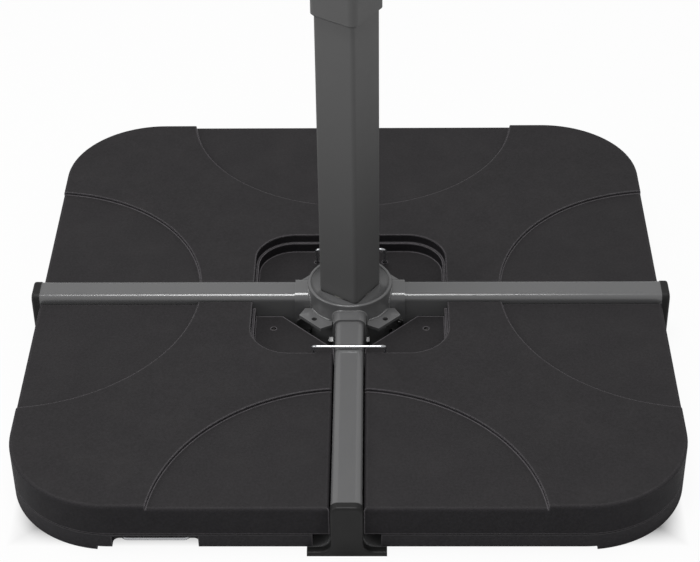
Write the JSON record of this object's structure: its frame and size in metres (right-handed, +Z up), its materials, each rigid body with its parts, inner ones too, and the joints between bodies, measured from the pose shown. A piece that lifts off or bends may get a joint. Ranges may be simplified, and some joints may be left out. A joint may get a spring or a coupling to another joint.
{
  "type": "parasol base",
  "caption": "Cross-shaped parasol base with a swivelling square mast stub, filled casing weights, wire carry handles and link clips.",
  "frame": {"origin": "centre of the footprint at floor level, on the hub's axis", "axes": "+Z up along the mast's swivel axis, +Y to the rear along one arm, +X to the right along another"},
  "size_m": [1, 1, 0.69],
  "materials": {
    "frame_paint": "smooth grey powder coat, satin",
    "mast_paint": "dark grey powder coat, matt",
    "cap_plastic": "black moulded plastic",
    "casing_plastic": "charcoal plastic with a fine moulded grain",
    "concrete_fill": "cast concrete",
    "chromed_wire": "bright plated wire",
    "zinc_steel": "zinc plated",
    "bearing_plastic": "natural acetal"
  },
  "bodies": {
    "cross_frame": {"arm_right": "frame_paint", "end_cap_right": "cap_plastic", "arm_saddle_right": "frame_paint", "arm_rear": "frame_paint", "end_cap_rear": "cap_plastic", "arm_saddle_rear": "frame_paint", "arm_left": "frame_paint", "end_cap_left": "cap_plastic", "arm_saddle_left": "frame_paint", "arm_front": "frame_paint", "end_cap_front": "cap_plastic", "arm_saddle_front": "frame_paint", "hub_drum": "frame_paint", "hub_floor": "frame_paint", "hub_gussets": "frame_paint", "lower_bearing_seat": "frame_paint", "upper_bearing_ring": "frame_paint", "arm_bolts": "zinc_steel", "arm_nuts": "zinc_steel", "lower_bush": "bearing_plastic", "upper_bush": "bearing_plastic", "thrust_washer": "bearing_plastic"},
    "mast": {"mast_tube": "mast_paint", "mast_collar": "mast_paint", "mast_foot": "mast_paint", "collar_screws": "zinc_steel", "retaining_bolt": "zinc_steel", "retaining_washer": "zinc_steel"},
    "weight_rear_right": {"weight_cover_rear_right": "casing_plastic", "weight_tray_rear_right": "casing_plastic", "weight_core_rear_right": "concrete_fill", "case_screws_rear_right": "zinc_steel"},
    "handle_rear_right": {"carry_handle_rear_right": "chromed_wire"},
    "weight_rear_left": {"weight_cover_rear_left": "casing_plastic", "weight_tray_rear_left": "casing_plastic", "weight_core_rear_left": "concrete_fill", "case_screws_rear_left": "zinc_steel"},
    "handle_rear_left": {"carry_handle_rear_left": "chromed_wire"},
    "weight_front_left": {"weight_cover_front_left": "casing_plastic", "weight_tray_front_left": "casing_plastic", "weight_core_front_left": "concrete_fill", "case_screws_front_left": "zinc_steel"},
    "handle_front_left": {"carry_handle_front_left": "chromed_wire"},
    "weight_front_right": {"weight_cover_front_right": "casing_plastic", "weight_tray_front_right": "casing_plastic", "weight_core_front_right": "concrete_fill", "case_screws_front_right": "zinc_steel"},
    "handle_front_right": {"carry_handle_front_right": "chromed_wire"},
    "clip_front": {"link_clip_front": "chromed_wire"},
    "clip_rear": {"link_clip_rear": "chromed_wire"}
  },
  "joints": [
    {"name": "mast_swivel", "type": "hinge", "parent": "cross_frame", "child": "mast", "pos_m": [0, 0, 0.1], "axis": [0, 0, 1], "continuous": true},
    {"name": "weight_lift_rear_right", "type": "slide", "parent": "cross_frame", "child": "weight_rear_right", "axis": [0, 0, 1], "range_m": [0, 0.15]},
    {"name": "weight_lift_rear_left", "type": "slide", "parent": "cross_frame", "child": "weight_rear_left", "axis": [0, 0, 1], "range_m": [0, 0.15]},
    {"name": "weight_lift_front_left", "type": "slide", "parent": "cross_frame", "child": "weight_front_left", "axis": [0, 0, 1], "range_m": [0, 0.15]},
    {"name": "weight_lift_front_right", "type": "slide", "parent": "cross_frame", "child": "weight_front_right", "axis": [0, 0, 1], "range_m": [0, 0.15]},
    {"name": "handle_pull_rear_right", "type": "slide", "parent": "weight_rear_right", "child": "handle_rear_right", "axis": [0, 1, 0], "range_m": [0, 0.035]},
    {"name": "handle_pull_rear_left", "type": "slide", "parent": "weight_rear_left", "child": "handle_rear_left", "axis": [-1, 0, 0], "range_m": [0, 0.035]},
    {"name": "handle_pull_front_left", "type": "slide", "parent": "weight_front_left", "child": "handle_front_left", "axis": [0, -1, 0], "range_m": [0, 0.035]},
    {"name": "handle_pull_front_right", "type": "slide", "parent": "weight_front_right", "child": "handle_front_right", "axis": [1, 0, 0], "range_m": [0, 0.035]},
    {"name": "clip_lift_front", "type": "slide", "parent": "weight_front_left", "child": "clip_front", "axis": [0, 0, 1], "range_m": [0, 0.15]},
    {"name": "clip_lift_rear", "type": "slide", "parent": "weight_rear_left", "child": "clip_rear", "axis": [0, 0, 1], "range_m": [0, 0.15]}
  ],
  "couplings": [
    {"joint": "clip_lift_front", "follows": "weight_lift_front_right", "ratio": 1},
    {"joint": "clip_lift_rear", "follows": "weight_lift_rear_right", "ratio": 1}
  ]
}
